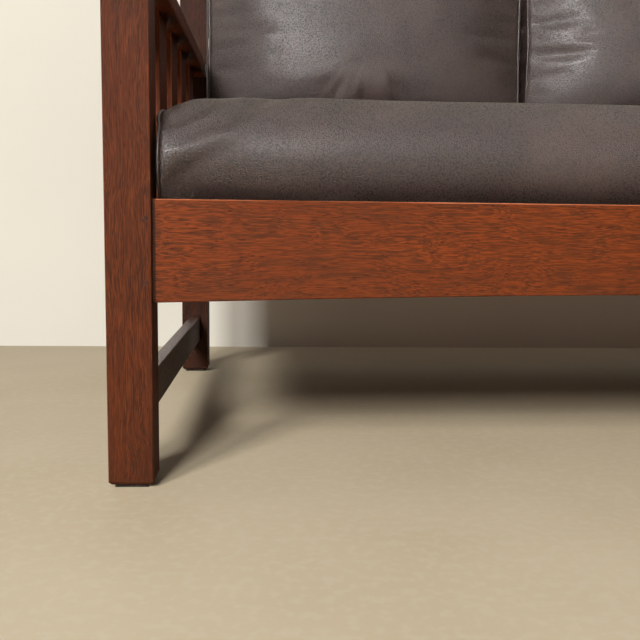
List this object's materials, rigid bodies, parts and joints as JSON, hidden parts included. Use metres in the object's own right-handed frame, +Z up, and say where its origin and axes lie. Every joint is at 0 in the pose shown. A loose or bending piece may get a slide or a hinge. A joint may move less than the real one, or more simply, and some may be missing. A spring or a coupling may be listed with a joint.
{
  "type": "mission settle",
  "caption": "Long slatted oak settle with square posts, flat arms, an arched front rail, low side stretchers and loose dark leather seat and back cushions.",
  "frame": {"origin": "middle of the settle's footprint on the floor, under the centre of its bounding box", "axes": "+X to the right along the settle's length as seen from the front, +Y from the front to the back, +Z up"},
  "size_m": [2.0012, 0.848, 0.94],
  "materials": {
    "fumed_oak": "satin",
    "peg_oak": "satin",
    "seat_frame_wood": "matte",
    "leather": "satin",
    "webbing": "matte",
    "felt": "matte",
    "screw_steel": "satin"
  },
  "bodies": {
    "frame": {"back_slat_1": "fumed_oak", "back_slat_10": "fumed_oak", "back_slat_11": "fumed_oak", "back_slat_12": "fumed_oak", "back_slat_13": "fumed_oak", "back_slat_2": "fumed_oak", "back_slat_3": "fumed_oak", "back_slat_4": "fumed_oak", "back_slat_5": "fumed_oak", "back_slat_6": "fumed_oak", "back_slat_7": "fumed_oak", "back_slat_8": "fumed_oak", "back_slat_9": "fumed_oak", "cleat_screws": "screw_steel", "crest_rail": "fumed_oak", "front_cleat": "seat_frame_wood", "front_left_pad": "felt", "front_left_post": "fumed_oak", "front_right_pad": "felt", "front_right_post": "fumed_oak", "front_seat_rail": "fumed_oak", "joint_pegs": "peg_oak", "left_arm": "fumed_oak", "left_cleat": "seat_frame_wood", "left_seat_rail": "fumed_oak", "left_slat_1": "fumed_oak", "left_slat_2": "fumed_oak", "left_slat_3": "fumed_oak", "left_slat_4": "fumed_oak", "left_slat_5": "fumed_oak", "left_stretcher": "fumed_oak", "rear_cleat": "seat_frame_wood", "rear_left_pad": "felt", "rear_left_post": "fumed_oak", "rear_right_pad": "felt", "rear_right_post": "fumed_oak", "rear_seat_rail": "fumed_oak", "right_arm": "fumed_oak", "right_cleat": "seat_frame_wood", "right_seat_rail": "fumed_oak", "right_slat_1": "fumed_oak", "right_slat_2": "fumed_oak", "right_slat_3": "fumed_oak", "right_slat_4": "fumed_oak", "right_slat_5": "fumed_oak", "right_stretcher": "fumed_oak"},
    "deck": {"crosswise_webbing": "webbing", "deck_cross_bar_1": "seat_frame_wood", "deck_cross_bar_2": "seat_frame_wood", "deck_cross_bar_3": "seat_frame_wood", "deck_front_bar": "seat_frame_wood", "deck_left_bar": "seat_frame_wood", "deck_rear_bar": "seat_frame_wood", "deck_right_bar": "seat_frame_wood", "lengthwise_webbing": "webbing"},
    "seat_cushion": {"seat_cushion": "leather"},
    "back_cushion_left": {"back_cushion_left": "leather"},
    "back_cushion_middle": {"back_cushion_middle": "leather"},
    "back_cushion_right": {"back_cushion_right": "leather"}
  },
  "joints": [
    {"name": "deck_lift", "type": "slide", "parent": "frame", "child": "deck", "axis": [0, 0, 1], "range_m": [0, 0.6647]},
    {"name": "seat_cushion_lift", "type": "slide", "parent": "deck", "child": "seat_cushion", "axis": [0, 0, 1], "range_m": [0, 0.641]},
    {"name": "back_cushion_left_lift", "type": "slide", "parent": "seat_cushion", "child": "back_cushion_left", "axis": [0, 0, 1], "range_m": [0, 0.5037]},
    {"name": "back_cushion_middle_lift", "type": "slide", "parent": "seat_cushion", "child": "back_cushion_middle", "axis": [0, 0, 1], "range_m": [0, 0.5037]},
    {"name": "back_cushion_right_lift", "type": "slide", "parent": "seat_cushion", "child": "back_cushion_right", "axis": [0, 0, 1], "range_m": [0, 0.5037]}
  ]
}
